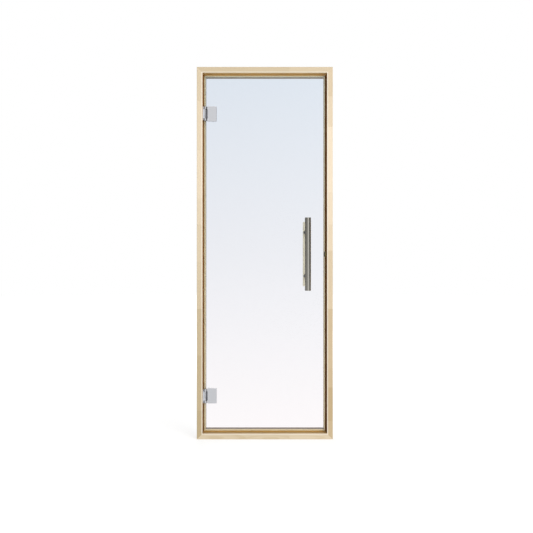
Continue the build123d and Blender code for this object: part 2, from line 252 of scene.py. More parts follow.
def closed_surface(
    name: str, rings: np.ndarray, first_pole: np.ndarray, last_pole: np.ndarray
) -> bpy.types.Object:
    """Makes a closed smooth piece from a grid of rings and a point at each end.

    Ring i and ring i + 1 are joined by quads that wrap round, and each end ring is joined to
    its pole by triangles. Faces are turned outwards if the enclosed volume, the sum of
    a . (b x c) over the triangles, comes out negative.

    Args:
        name: the piece's name.
        rings: array of shape (rings, points round, 3).
        first_pole: the point that closes the first ring.
        last_pole: the point that closes the last ring.

    Returns:
        The new object, linked to the scene.
    """
    ring_count, around, _ = rings.shape
    points = np.vstack([rings.reshape(-1, 3), first_pole, last_pole])
    index = np.arange(ring_count * around).reshape(ring_count, around)
    ahead = np.roll(index, -1, axis=1)
    quads = np.stack([index[:-1], ahead[:-1], ahead[1:], index[1:]], axis=-1).reshape(-1, 4)
    first, last = ring_count * around, ring_count * around + 1
    start_fan = np.stack([np.full(around, first), ahead[0], index[0]], axis=-1)
    end_fan = np.stack([np.full(around, last), index[-1], ahead[-1]], axis=-1)
    triangles = np.vstack([start_fan, end_fan, quads[:, :3], quads[:, [0, 2, 3]]])
    a, b, c = (points[triangles[:, i]] for i in range(3))
    if np.einsum("ij,ij->", a, np.cross(b, c)) < 0:
        quads, start_fan, end_fan = quads[:, ::-1], start_fan[:, ::-1], end_fan[:, ::-1]
    mesh = bpy.data.meshes.new(name)
    mesh.from_pydata(points.tolist(), [], [*quads.tolist(), *start_fan.tolist(), *end_fan.tolist()])
    mesh.polygons.foreach_set("use_smooth", np.ones(len(mesh.polygons), dtype=bool))
    mesh.update()
    piece = bpy.data.objects.new(name, mesh)
    bpy.context.scene.collection.objects.link(piece)
    return piece


def join_pieces(name: str, pieces: list[bpy.types.Object]) -> bpy.types.Object:
    """Joins pieces that sit at the origin into one.

    Args:
        name: the joined piece's name.
        pieces: the pieces, which are used up.

    Returns:
        The joined piece.
    """
    with bpy.context.temp_override(active_object=pieces[0], selected_editable_objects=pieces):
        bpy.ops.object.join()
    pieces[0].name = pieces[0].data.name = name
    return pieces[0]


@dataclass(frozen=True)
class Outline:
    """An upright rectangle in the door's plane, centred on x = 0."""

    half_width: float
    low: float
    high: float

    @property
    def middle(self) -> float:
        """Height of its centre."""
        return (self.low + self.high) / 2

    @property
    def half_height(self) -> float:
        """Half of its height."""
        return (self.high - self.low) / 2

    @classmethod
    def of_node(cls, name: str) -> "Outline":
        """Takes the rectangle of a centred node's box."""
        low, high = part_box(name)
        return cls(high[0], low[2], high[2])


# Finishes


@dataclass(frozen=True)
class PlanedWood:
    """Aspen, planed, sanded and finished with oil.

    Planing leaves it flat and oil leaves a satin sheen, so what shows is pale wood with soft
    growth rings, fine fibre streaks and a change of tone at each finger joint.
    """

    name: str
    pale: str = "FDEED8"
    late: str = "E3CDA9"
    dark_board: str = "BFB79C"
    run: Run = Run.UPRIGHT
    boards: tuple[Board, ...] = (Board(0.0, 1.0),)
    low: float = 0.0             # where the member starts and ends along its run
    high: float = 1.0
    ring_mm: float = 5.5         # real rings are 2 to 3 mm, drawn coarser so that they show
    ring_profile: tuple[tuple[float, float], ...] = (
        (0.0, 0.1), (0.55, 0.25), (0.86, 1.0), (1.0, 0.1),
    )
    ring_weight: float = 0.42    # how much of the late colour the rings bring
    ring_relief: float = 0.5     # how high they stand beside the fibres
    heart_depth_mm: float = 60.0
    heart_spread_mm: float = 160.0
    bends_along: float = 1.6     # slow bends of the rings per metre
    bends_across: float = 9.0
    fibre_mm: float = 2.4        # real fibre is 1 mm, drawn coarser so that it shows
    fibre_length_mm: float = 140.0
    fibre_weight: float = 0.5
    ring_shift: float = 31.0     # how far a pattern moves on as the board's tone goes 0 to 1
    fibre_shift: float = 57.0
    finger_mm: float = 10.0
    finger_pitch_mm: float = 3.8
    roughness: tuple[float, float] = (0.42, 0.6)
    bump: float = 0.3
    relief_mm: float = 0.12

    def build(self) -> bpy.types.Material:
        """Builds the material.

        Returns:
            Wood whose rings and fibres run along the member.
        """
        material, tree = new_material(self.name)
        axes = object_axes(tree)
        upright = self.run is Run.UPRIGHT
        along = axes.outputs["Z" if upright else "X"]
        across = axes.outputs["X" if upright else "Z"]
        depth = axes.outputs["Y"]
        tone = self.board_tone(tree, along, depth)
        at = BoardPlace(along, across, depth, tone)
        rings = self.growth_rings(tree, at)
        fibre = self.fibre_streaks(tree, at)
        ring_part = add_node(tree, "Math", {0: rings, 1: self.ring_weight}, operation="MULTIPLY")
        grain = add_node(
            tree, "Math", {0: fibre, 1: self.fibre_weight, 2: ring_part}, operation="MULTIPLY_ADD"
        )
        ground = add_node(
            tree, "Mix", {"Factor": grain, "A": linear(self.pale), "B": linear(self.late)},
            data_type="RGBA",
        )
        board = add_node(
            tree, "Mix", {"Factor": tone, "A": linear(self.dark_board), "B": grey(1.0)}, data_type="RGBA"
        )
        toned = add_node(
            tree, "Mix", {"Factor": 1.0, "A": ground, "B": board}, data_type="RGBA", blend_type="MULTIPLY"
        )
        rough = add_node(
            tree, "MapRange", {"Value": fibre, "To Min": self.roughness[0], "To Max": self.roughness[1]}
        )
        relief = add_node(
            tree, "Math", {0: rings, 1: self.ring_relief, 2: fibre}, operation="MULTIPLY_ADD"
        )
        bump = add_node(
            tree, "Bump", {"Height": relief, "Strength": self.bump, "Distance": self.relief_mm * MM}
        )
        shader = add_node(
            tree, "BsdfPrincipled",
            {"Base Color": self.painted_light_and_shade(tree, axes, toned), "Roughness": rough, "Normal": bump},
        )
        add_node(tree, "OutputMaterial", {"Surface": shader})
        return material

    def painted_light_and_shade(
        self, tree: bpy.types.NodeTree, axes: bpy.types.Node, colour: bpy.types.Node
    ) -> bpy.types.Node:
        """Returns the colour as it is: a plain piece gets no painted shade or highlight."""
        return colour

    def board_tone(
        self, tree: bpy.types.NodeTree, along: bpy.types.NodeSocket, depth: bpy.types.NodeSocket
    ) -> bpy.types.Node:
        """Adds the tone of each board.

        Steps along the member, whose edges zigzag through the depth as fingers do.

        Args:
            tree: where the nodes go.
            along: distance along the member.
            depth: distance through it.

        Returns:
            The node that holds the tone, 0 to 1.
        """
        zigzag = add_node(
            tree, "Math", {0: depth, 1: self.finger_pitch_mm * MM / 2}, operation="PINGPONG"
        )
        steepness = 2 * self.finger_mm / self.finger_pitch_mm
        shifted = add_node(tree, "Math", {0: zigzag, 1: steepness, 2: along}, operation="MULTIPLY_ADD")
        share = add_node(
            tree, "MapRange", {"Value": shifted, "From Min": self.low, "From Max": self.high}
        )
        steps = add_node(tree, "ValToRGB", {0: share})
        return set_stops(steps, [(b.start, grey(b.tone)) for b in self.boards], stepped=True)

    def growth_rings(self, tree: bpy.types.NodeTree, at: BoardPlace) -> bpy.types.Node:
        """Adds growth rings.

        The distance from a heart line behind the board, whose place differs from board to
        board and is bent by slow noise, is cut into rings that darken slowly and end sharply.

        Args:
            tree: where the nodes go.
            at: the point's place, whose tone also tells the boards apart.

        Returns:
            The node that holds the pattern, 0 to 1.
        """
        board_shift = add_node(tree, "Math", {0: at.tone, 1: self.ring_shift}, operation="MULTIPLY")
        slow_along = add_node(
            tree, "Math", {0: at.along, 1: self.bends_along, 2: board_shift}, operation="MULTIPLY_ADD"
        )
        slow_across, slow_depth = (
            add_node(tree, "Math", {0: way, 1: self.bends_across}, operation="MULTIPLY")
            for way in (at.across, at.depth)
        )
        place = add_node(tree, "CombineXYZ", {0: slow_across, 1: slow_depth, 2: slow_along})
        bend = add_node(tree, "TexNoise", {"Vector": place, "Scale": 1.0, "Detail": 2.0})
        half = self.heart_spread_mm * MM / 2
        heart = add_node(tree, "MapRange", {"Value": at.tone, "To Min": -half, "To Max": half})
        aside = add_node(tree, "Math", {0: at.across, 1: heart}, operation="SUBTRACT")
        heart_depth = self.heart_depth_mm * MM
        bent = add_node(tree, "Math", {0: bend, 1: heart_depth, 2: heart_depth}, operation="MULTIPLY_ADD")
        behind = add_node(tree, "Math", {0: at.depth, 1: bent}, operation="ADD")
        offset = add_node(tree, "CombineXYZ", {0: aside, 1: behind})
        radius = add_node(tree, "VectorMath", {0: offset}, operation="LENGTH")
        ring_count = add_node(
            tree, "Math", {0: radius.outputs["Value"], 1: self.ring_mm * MM}, operation="DIVIDE"
        )
        phase = add_node(tree, "Math", {0: ring_count}, operation="FRACT")
        profile = add_node(tree, "ValToRGB", {0: phase})
        return set_stops(profile, [(place, grey(level)) for place, level in self.ring_profile])

    def fibre_streaks(self, tree: bpy.types.NodeTree, at: BoardPlace) -> bpy.types.Node:
        """Adds noise stretched along the grain, shifted from board to board.

        Args:
            tree: where the nodes go.
            at: the point's place.

        Returns:
            The node that holds the streaks, 0 to 1.
        """
        fine = 1 / (self.fibre_mm * MM)
        board_shift = add_node(tree, "Math", {0: at.tone, 1: self.fibre_shift}, operation="MULTIPLY")
        far_along = add_node(
            tree, "Math", {0: at.along, 1: 1 / (self.fibre_length_mm * MM), 2: board_shift},
            operation="MULTIPLY_ADD",
        )
        fine_across, fine_depth = (
            add_node(tree, "Math", {0: way, 1: fine}, operation="MULTIPLY")
            for way in (at.across, at.depth)
        )
        place = add_node(tree, "CombineXYZ", {0: fine_across, 1: fine_depth, 2: far_along})
        return add_node(
            tree, "TexNoise", {"Vector": place, "Scale": 1.0, "Detail": 4.0, "Roughness": 0.6}
        )


@dataclass(frozen=True, kw_only=True)
class RebatedWood(PlanedWood):
    """The frame's wood, with painted shade in its rebate and a painted highlight on its face.

    The rebate and its eased arris carry painted shade, browner towards the corner, and the face
    beside the inner arris carries a pale painted highlight. The stop's inner side carries a grey
    painted shade.
    """

    rebate: Outline
    front: float
    # The next three tints are painted shade in the rebate and on the stop; then how far that shade
    # reaches round the arris, and how strong the painted highlight beside it is.
    reveal_shade_tint: str
    corner_shade_tint: str
    stop_shade_tint: str
    rebate_shade_reach_mm: float
    arris_highlight_strength: float
    # Colour and width of the painted highlight on the face beside the inner arris.
    arris_highlight_colour: str = "FFFAF0"
    arris_highlight_mm: float = 4.0
    corner_share: float = 0.25   # how much of the rebate's depth has the corner's full painted shade

    def painted_light_and_shade(
        self, tree: bpy.types.NodeTree, axes: bpy.types.Node, colour: bpy.types.Node
    ) -> bpy.types.Node:
        """Adds painted shade to the rebate and the stop, and a painted highlight beside the inner arris.

        Args:
            tree: where the nodes go.
            axes: the object's coordinates.
            colour: the plain wood's colour.

        Returns:
            The node that holds the finished colour.
        """
        # Painted shade: tints darken the rebate, most in the corner by the stop, and grey the stop's
        # inner side.
        outside = outside_outline(tree, axes, self.rebate)
        in_rebate = add_node(
            tree, "MapRange",
            {"Value": outside, "From Min": self.rebate_shade_reach_mm * MM, "From Max": 2 * self.rebate_shade_reach_mm * MM,
             "To Min": 1.0, "To Max": 0.0},
        )
        on_stop = add_node(
            tree, "MapRange",
            {"Value": axes.outputs["Y"], "From Min": 0.0, "From Max": self.rebate_shade_reach_mm * MM},
        )
        towards_corner = add_node(
            tree, "MapRange",
            {"Value": axes.outputs["Y"], "From Min": self.front,
             "From Max": self.front * self.corner_share},
        )
        rebate_shade_tint = add_node(
            tree, "Mix",
            {"Factor": towards_corner, "A": linear(self.reveal_shade_tint),
             "B": linear(self.corner_shade_tint)},
            data_type="RGBA",
        )
        inner_shade_tint = add_node(
            tree, "Mix", {"Factor": on_stop, "A": rebate_shade_tint, "B": linear(self.stop_shade_tint)},
            data_type="RGBA",
        )
        shaded = add_node(
            tree, "Mix", {"Factor": in_rebate, "A": colour, "B": inner_shade_tint},
            data_type="RGBA", blend_type="MULTIPLY",
        )
        # Painted highlight: the face beside the inner arris is mixed towards a paler colour.
        near_arris = add_node(
            tree, "MapRange",
            {"Value": outside, "From Min": self.arris_highlight_mm * MM, "From Max": 2 * self.arris_highlight_mm * MM,
             "To Min": self.arris_highlight_strength, "To Max": 0.0},
        )
        on_face = add_node(tree, "Math", {0: near_arris, 1: in_rebate}, operation="SUBTRACT")
        in_front = add_node(tree, "Math", {0: on_face, 1: on_stop}, operation="SUBTRACT")
        arris = add_node(tree, "Math", {0: in_front, 1: 0.0}, operation="MAXIMUM")
        return add_node(
            tree, "Mix", {"Factor": arris, "A": shaded, "B": linear(self.arris_highlight_colour)}, data_type="RGBA"
        )


@dataclass(frozen=True)
class BrushedMetal:
    """Satin metal: stainless steel that was belt ground, or steel with a zinc or nickel plate.

    Grinding leaves fine scratches one way, so light spreads across them and the face looks
    soft grey with faint lines. Plating is as soft, and mottled where scratch_mm is even.
    """

    name: str
    colour: str
    roughness: tuple[float, float] = (0.24, 0.4)
    scratch_mm: tuple[float, float, float] = (0.3, 0.3, 30.0)  # real ones are 0.05 mm wide
    tone: tuple[float, float] = (0.94, 1.04)
    bump: float = 0.3
    relief_mm: float = 0.01

    def build(self) -> bpy.types.Material:
        """Builds the material.

        Returns:
            Metal with noise stretched along its scratches.
        """
        material, tree = new_material(self.name)
        place = add_node(tree, "TexCoord").outputs["Object"]
        stretched = add_node(
            tree, "VectorMath", {0: place, 1: tuple(1 / (w * MM) for w in self.scratch_mm)},
            operation="MULTIPLY",
        )
        scratch = add_node(
            tree, "TexNoise", {"Vector": stretched, "Scale": 1.0, "Detail": 3.0, "Roughness": 0.65}
        )
        rough = add_node(
            tree, "MapRange", {"Value": scratch, "To Min": self.roughness[0], "To Max": self.roughness[1]}
        )
        tone = add_node(
            tree, "MapRange", {"Value": scratch, "To Min": self.tone[0], "To Max": self.tone[1]}
        )
        colour = add_node(tree, "HueSaturation", {"Color": linear(self.colour), "Value": tone})
        bump = add_node(
            tree, "Bump", {"Height": scratch, "Strength": self.bump, "Distance": self.relief_mm * MM}
        )
        shader = add_node(
            tree, "BsdfPrincipled",
            {"Base Color": colour, "Metallic": 1.0, "Roughness": rough, "Normal": bump},
        )
        add_node(tree, "OutputMaterial", {"Surface": shader})
        return material


@dataclass(frozen=True)
class ToughenedGlass:
    """Clear toughened soda-lime glass, 8 mm, with ground edges.

    Float glass is flat and bright. A faint blue towards the top is a painted reflection of the
    room. Its ground edges are frosted, and show the green that iron gives the glass.
    """

    outline: Outline
    name: str = "clear_toughened_glass"
    # The blue tint at the top is a painted reflection; the low tint is the clear glass.
    high_reflection_tint: str = "DBE3ED"
    low_tint: str = "FDF9FA"
    edge_colour: str = "B9D2C6"
    edge_mm: float = 0.9
    edge_roughness: float = 0.45
    ior: float = 1.52
    lamp_tint: str = "FBFCFA"

    def build(self) -> bpy.types.Material:
        """Builds the material.

        Returns:
            Glass that also lets lamp light through, with a painted reflection that grows bluer with
            height.
        """
        material, tree = new_material(self.name)
        axes = object_axes(tree)
        # Painted reflection: the glass turns bluer towards the top.
        share = add_node(
            tree, "MapRange",
            {"Value": axes.outputs["Z"], "From Min": self.outline.low,
             "From Max": self.outline.high},
        )
        tint = add_node(
            tree, "Mix",
            {"Factor": share, "A": linear(self.low_tint), "B": linear(self.high_reflection_tint)},
            data_type="RGBA",
        )
        edge = add_node(
            tree, "Math",
            {0: outside_outline(tree, axes, self.outline), 1: -self.edge_mm * MM},
            operation="GREATER_THAN",
        )
        colour = add_node(
            tree, "Mix", {"Factor": edge, "A": tint, "B": linear(self.edge_colour)}, data_type="RGBA"
        )
        rough = add_node(tree, "Math", {0: edge, 1: self.edge_roughness}, operation="MULTIPLY")
        glass = add_node(
            tree, "BsdfPrincipled",
            {"Base Color": colour, "Roughness": rough, "IOR": self.ior,
             "Transmission Weight": 1.0},
        )
        open_to_lamps = add_node(tree, "BsdfTransparent", {0: linear(self.lamp_tint)})
        path = add_node(tree, "LightPath").outputs
        either = add_node(
            tree, "Math", {0: path["Is Shadow Ray"], 1: path["Is Diffuse Ray"]}, operation="MAXIMUM"
        )
        mixed = add_node(tree, "MixShader", {0: either, 1: glass, 2: open_to_lamps})
        add_node(tree, "OutputMaterial", {"Surface": mixed})
        return material


@dataclass(frozen=True)
class MouldedPlastic:
    """Rubber, silicone or plastic from a mould, with a fine eggshell skin."""

    name: str
    colour: str
    roughness: tuple[float, float] = (0.5, 0.65)
    specular: float = 0.5        # less on soft silicone, which looks dull
    skin_mm: float = 0.6         # real skin is 0.1 mm, drawn coarser so that it shows
    tone: tuple[float, float] = (0.92, 1.08)
    bump: float = 0.2
    relief_mm: float = 0.05

    def build(self) -> bpy.types.Material:
        """Builds the material.

        Returns:
            Plastic with a fine mottle in tone, roughness and relief.
        """
        material, tree = new_material(self.name)
        axes = object_axes(tree)
        place = add_node(tree, "TexCoord").outputs["Object"]
        skin = add_node(
            tree, "TexNoise", {"Vector": place, "Scale": 1 / (self.skin_mm * MM), "Detail": 2.0}
        )
        tone = add_node(tree, "MapRange", {"Value": skin, "To Min": self.tone[0], "To Max": self.tone[1]})
        colour = add_node(tree, "HueSaturation", {"Color": self.ground(tree, axes), "Value": tone})
        rough = add_node(
            tree, "MapRange", {"Value": skin, "To Min": self.roughness[0], "To Max": self.roughness[1]}
        )
        bump = add_node(
            tree, "Bump", {"Height": skin, "Strength": self.bump, "Distance": self.relief_mm * MM}
        )
        shader = add_node(
            tree, "BsdfPrincipled",
            {"Base Color": colour, "Roughness": rough, "Specular IOR Level": self.specular,
             "Normal": bump},
        )
        add_node(tree, "OutputMaterial", {"Surface": shader})
        return material

    def ground(
        self, tree: bpy.types.NodeTree, axes: bpy.types.Node
    ) -> bpy.types.Node | tuple[float, float, float, float]:
        """Returns the plain colour."""
        return linear(self.colour)


@dataclass(frozen=True, kw_only=True)
class TwoToneSeal(MouldedPlastic):
    """Silicone seal drawn in one go from two colours.

    The firm base is brown, and where it shows in the gap beside the reveal its colour also
    carries painted shade. The soft lip that the glass meets is a pale beige.
    """

    lip: Outline
    base_colour: str

    def ground(self, tree: bpy.types.NodeTree, axes: bpy.types.Node) -> bpy.types.Node:
        """Adds the two colours, parted at the lip's outer side.

        Args:
            tree: where the nodes go.
            axes: the object's coordinates.

        Returns:
            The node that holds the colour.
        """
        on_base = add_node(
            tree, "Math", {0: outside_outline(tree, axes, self.lip), 1: 0.0}, operation="GREATER_THAN"
        )
        return add_node(
            tree, "Mix",
            {"Factor": on_base, "A": linear(self.colour), "B": linear(self.base_colour)},
            data_type="RGBA",
        )


# Sub-assemblies


@dataclass
class WoodFrame:
    """The rebated wood frame and the seals on its stop."""

    nodes: Nodes
    face_width: float = 30 * MM
    seal_lip_width: float = 6 * MM
    wide_lip: float = 2 * MM         # how much wider the lip looks on the hinge side
    seal_specular: float = 0.2
    lip_colour: str = "F8E6BA"
    # Seal base colours: brown, darker beside the jambs and darkest on the latch side as painted shade of
    # the gap.
    base_colour: str = "D6A75C"
    hinge_shaded_base_colour: str = "8C5820"
    latch_shaded_base_colour: str = "784400"
    # Each member's rebate and stop tints are painted shade, set member by member. The board tones differ
    # as finger-jointed boards do, and on the jambs they also carry painted light: darker towards the
    # bottom, paler towards the top.
    members: tuple[MemberLook, ...] = (
        MemberLook("hinge_jamb", Run.UPRIGHT, "BFB79C", "C8A070", "7C5A2C", "BEB6A6", 1.0, 0.6, (
            Board(0.0, 0.09), Board(0.075, 0.18), Board(0.225, 0.28), Board(0.35, 0.46),
            Board(0.428, 0.53), Board(0.474, 0.6), Board(0.575, 0.72), Board(0.645, 0.84),
            Board(0.776, 0.75), Board(0.91, 0.6),
        )),
        MemberLook("latch_jamb", Run.UPRIGHT, "BFAF88", "B08850", "6C4E20", "F0EEE6", 0.9, 0.6, (
            Board(0.0, 0.3), Board(0.05, 0.2), Board(0.14, 0.33), Board(0.19, 0.38),
            Board(0.35, 0.58), Board(0.505, 0.78), Board(0.578, 0.89), Board(0.663, 0.97),
            Board(0.838, 0.74), Board(0.92, 0.6),
        )),
        MemberLook("head_rail", Run.LEVEL, "BFB79C", "E8CFA2", "E4CA9C", "9A8A64", 0.35, 0.4, (
            Board(0.0, 0.43), Board(0.36, 0.44), Board(0.68, 0.53),
        )),
        MemberLook("sill_rail", Run.LEVEL, "BFB79C", "DCC69C", "D8BE90", "807252", 0.35, 0.4, (
            Board(0.0, 0.48), Board(0.36, 0.49), Board(0.68, 0.58),
        )),
    )

    def rebate(self) -> Outline:
        """Returns the opening between the reveals, inside the frame's faces."""
        outer_low, outer_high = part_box("hinge_jamb")
        return Outline(
            -outer_low[0] - self.face_width,
            outer_low[2] + self.face_width,
            outer_high[2] - self.face_width,
        )

    def dress_wood(self) -> None:
        """Gives each member its own run of boards."""
        rebate = self.rebate()
        for look in self.members:
            low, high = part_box(look.node)
            # Each member's finish carries painted shade in its rebate and a painted highlight beside its
            # inner arris.
            finish = RebatedWood(
                f"oiled_aspen_{look.node}", dark_board=look.dark_board, run=look.run,
                boards=look.boards, low=low[look.run.value], high=high[look.run.value],
                rebate=rebate, front=low[1], reveal_shade_tint=look.reveal_shade_tint,
                corner_shade_tint=look.corner_shade_tint, stop_shade_tint=look.stop_shade_tint,
                rebate_shade_reach_mm=look.rebate_shade_reach_mm, arris_highlight_strength=look.arris_highlight_strength,
            )
            dress(self.nodes[look.node], finish.build())
        LOG.info("frame: %d members dressed", len(self.members))

    def dress_seals(self) -> None:
        """Gives the seals their two-tone silicone, whose base is darker beside the jambs as painted
        shade.
        """
        even = self.silicone("seal_silicone", 0.0, self.base_colour)
        hinge_side = self.silicone("hinge_seal_silicone", self.wide_lip, self.hinge_shaded_base_colour)
        latch_side = self.silicone("latch_seal_silicone", 0.0, self.latch_shaded_base_colour)
        for name, finish in (
            ("seal_head", even),
            ("seal_sill", even),
            ("seal_hinge_side", hinge_side),
            ("seal_latch_side_lower", latch_side),
            ("seal_latch_side_upper", latch_side),
        ):
            dress(self.nodes[name], finish)
        LOG.info("frame: seals dressed")

    def silicone(self, name: str, wider: float, base_colour: str) -> bpy.types.Material:
        """Makes the finish of a seal.

        Args:
            name: the material's name.
            wider: how much wider than its CAD form the pale lip looks.
            base_colour: the colour of the firm base, which also carries painted shade.

        Returns:
            Silicone whose colours part at the lip's outer side.
        """
        rebate = self.rebate()
        lip_edge = -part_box("seal_hinge_side")[1][0] + self.seal_lip_width + wider
        inset = rebate.half_width - lip_edge
        lip = Outline(lip_edge, rebate.low + inset, rebate.high - inset)
        return TwoToneSeal(
            name, self.lip_colour, specular=self.seal_specular, lip=lip, base_colour=base_colour
        ).build()


@dataclass(frozen=True)
class ScrewHead:
    """A countersunk screw that fills a countersink in the CAD model."""

    radius: float
    neck_radius: float
    cone_depth: float
    shank_depth: float
    recess_radius: float
    recess_depth: float
    drive: Drive = Drive.HEXAGON
    lobe_depth: float = 0.1
    around: int = 48
    flank_reach: tuple[float, ...] = (0.35, 0.8, 0.97, 1.0, 1.03, 1.12)  # of the recess's radius
    flank_sink: tuple[float, ...] = (1.0, 1.0, 0.85, 0.5, 0.12, 0.0)  # of its depth
    rim_reach: tuple[float, ...] = (0.85, 0.97, 1.0)  # of the head's radius
    rim_drop: tuple[float, ...] = (0.0, 0.0, 0.02)

    def build(self, name: str, centre: np.ndarray, outward: np.ndarray) -> bpy.types.Object:
        """Builds the screw as rings about its axis, each with a radius and a height.

        The recess's outline has radius recess_radius (1 + lobe_depth cos(lobes a)) at angle a.
        The rings sink to recess_depth inside it over a short smooth flank. Below the rim the
        cone narrows to the neck, which runs down as the shank.

        Args:
            name: the piece's name.
            centre: the middle of the head's top.
            outward: unit vector that points out of the screw's head.

        Returns:
            The new piece.
        """
        turn = np.linspace(0, 2 * np.pi, self.around, endpoint=False)
        outline = self.recess_radius * (1 + self.lobe_depth * np.cos(self.drive.value * turn))
        even = np.ones(self.around)
        radius = np.vstack([
            np.outer(self.flank_reach, outline),
            np.outer(self.rim_reach, self.radius * even),
            np.outer((self.neck_radius, self.neck_radius), even),
        ])
        height = -np.vstack([
            np.outer(self.flank_sink, self.recess_depth * even),
            np.outer(self.rim_drop, self.radius * even),
            np.outer((self.cone_depth, self.shank_depth), even),
        ])
        side = np.cross(outward, np.roll(outward, 1))
        other = np.cross(outward, side)
        spoke = np.cos(turn)[:, None] * side + np.sin(turn)[:, None] * other
        rings = centre + radius[..., None] * spoke + height[..., None] * outward
        return closed_surface(
            name, rings, centre - self.recess_depth * outward, centre - self.shank_depth * outward
        )


class HingeFinishes(NamedTuple):
    """The materials that both hinges share."""

    plate: bpy.types.Material
    leaf: bpy.types.Material
    pin: bpy.types.Material
    rubber: bpy.types.Material
    screw: bpy.types.Material

    @classmethod
    def build(cls) -> "HingeFinishes":
        """Builds the materials.

        Returns:
            Satin plates and leaves, turned pins, grey rubber and zinc screws.
        """
        upright = {"roughness": (0.28, 0.44), "scratch_mm": (0.3, 0.3, 20.0)}
        return cls(
            plate=BrushedMetal("satin_plate_steel", "C8C9CD", **upright).build(),
            # The leaf is a paler copy of the plate steel, a painted highlight on the leaf and its barrel.
            leaf=BrushedMetal("satin_leaf_steel_painted_highlight", "D4D5D9", **upright).build(),
            pin=BrushedMetal(
                "turned_pin_steel", "C2C2C4", roughness=(0.14, 0.3), scratch_mm=(5.0, 5.0, 0.3)
            ).build(),
            rubber=MouldedPlastic("grey_gasket_rubber", "84848A", roughness=(0.55, 0.7)).build(),
            screw=BrushedMetal("zinc_screw_steel", "BDBDC0", scratch_mm=(1.0, 1.0, 1.0)).build(),
        )


@dataclass
class Hinge:
    """One glass hinge: leaf and pin on the frame, clamp plates and gaskets on the glass."""

    nodes: Nodes
    place: str
    finishes: HingeFinishes
    leaf_thickness: float = 3 * MM
    leaf_screw_inset: float = 6 * MM
    clamp_screw_spacing: float = 44 * MM
    screw_sink: float = 0.05 * MM
    leaf_screw: ScrewHead = ScrewHead(
        radius=4.1 * MM, neck_radius=2.1 * MM, cone_depth=2.25 * MM, shank_depth=2.9 * MM,
        recess_radius=1.7 * MM, recess_depth=1.2 * MM, drive=Drive.CROSS, lobe_depth=0.35,
    )
    clamp_screw: ScrewHead = ScrewHead(
        radius=5.1 * MM, neck_radius=2.5 * MM, cone_depth=2.9 * MM, shank_depth=7.5 * MM,
        recess_radius=2.2 * MM, recess_depth=2.0 * MM,
    )

    def dress_nodes(self) -> None:
        """Dresses the CAD nodes of this hinge."""
        for part, material in (
            ("hinge_leaf", self.finishes.leaf),
            ("hinge_plate_outer", self.finishes.plate),
            ("hinge_plate_inner", self.finishes.plate),
            ("hinge_pin", self.finishes.pin),
            ("hinge_gasket_outer", self.finishes.rubber),
            ("hinge_gasket_inner", self.finishes.rubber),
        ):
            dress(self.nodes[f"{part}_{self.place}"], material)

    def add_leaf_screws(self) -> None:
        """Adds the four screws that hold the leaf to the jamb."""
        low, high = (np.array(corner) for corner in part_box(f"hinge_leaf_{self.place}"))
        face_x = low[0] + self.leaf_thickness - self.screw_sink
        inset = self.leaf_screw_inset
        centres = [
            np.array([face_x, y, z])
            for y in (low[1] + inset, high[1] - inset)
            for z in (low[2] + inset, high[2] - inset)
        ]
        self.add_screws("leaf", self.leaf_screw, centres, np.array([1.0, 0, 0]), Body.FRAME)

    def add_clamp_screws(self) -> None:
        """Adds the two screws that draw the clamp plates together."""
        low, high = (np.array(corner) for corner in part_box(f"hinge_plate_inner_{self.place}"))
        middle = (low + high) / 2
        centres = [
            np.array([middle[0], high[1] - self.screw_sink, middle[2] + side])
            for side in (-self.clamp_screw_spacing / 2, self.clamp_screw_spacing / 2)
        ]
        self.add_screws("clamp", self.clamp_screw, centres, np.array([0, 1.0, 0]), Body.DOOR)

    def add_screws(
        self,
        kind: str,
        screw: ScrewHead,
        centres: list[np.ndarray],
        outward: np.ndarray,
        body: Body,
    ) -> None:
        """Adds one set of like screws as a piece of its own.

        Args:
            kind: what they hold, for the piece's name.
            screw: the screw's form.
            centres: the middle of each head's top.
            outward: unit vector that points out of the heads.
            body: the body that they ride on.
        """
        name = f"{kind}_screws_{self.place}"
        heads = [
            screw.build(f"{name}_{number}", centre, outward)
            for number, centre in enumerate(centres)
        ]
        piece = join_pieces(name, heads)
        dress(piece, self.finishes.screw)
        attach(piece, body.value)
        LOG.info("%s: %d screws", name, len(centres))


@dataclass
class Handle:
    """The steel tube outside, the wood grip inside and what joins them through the glass."""

    nodes: Nodes
    tube_colour: str = "A8A59D"
    fitting_colour: str = "A2A19C"
    grip_pale: str = "FFF8E2"
    grip_late: str = "F2E4C2"

    def dress_nodes(self) -> None:
        """Dresses the CAD nodes of the handle."""
        tube = BrushedMetal(
            "satin_steel_tube", self.tube_colour, roughness=(0.08, 0.24), scratch_mm=(30.0, 30.0, 0.5)
        ).build()
        fitting = BrushedMetal("satin_steel_fittings", self.fitting_colour).build()
        grip = PlanedWood(
            "sanded_aspen_grip", pale=self.grip_pale, late=self.grip_late, ring_mm=4.0
        ).build()
        nylon = MouldedPlastic("pale_nylon_washer", "D6D6D2", roughness=(0.35, 0.5)).build()
        for name in ("handle_tube", "handle_cap_bottom", "handle_cap_top"):
            dress(self.nodes[name], tube)
        dress(self.nodes["wooden_grip"], grip)
        for place in PLACES:
            for part in ("outer_post", "inner_post", "handle_saddle"):
                dress(self.nodes[f"{part}_{place}"], fitting)
            for part in ("outer_washer", "inner_washer"):
                dress(self.nodes[f"{part}_{place}"], nylon)
        LOG.info("handle dressed")


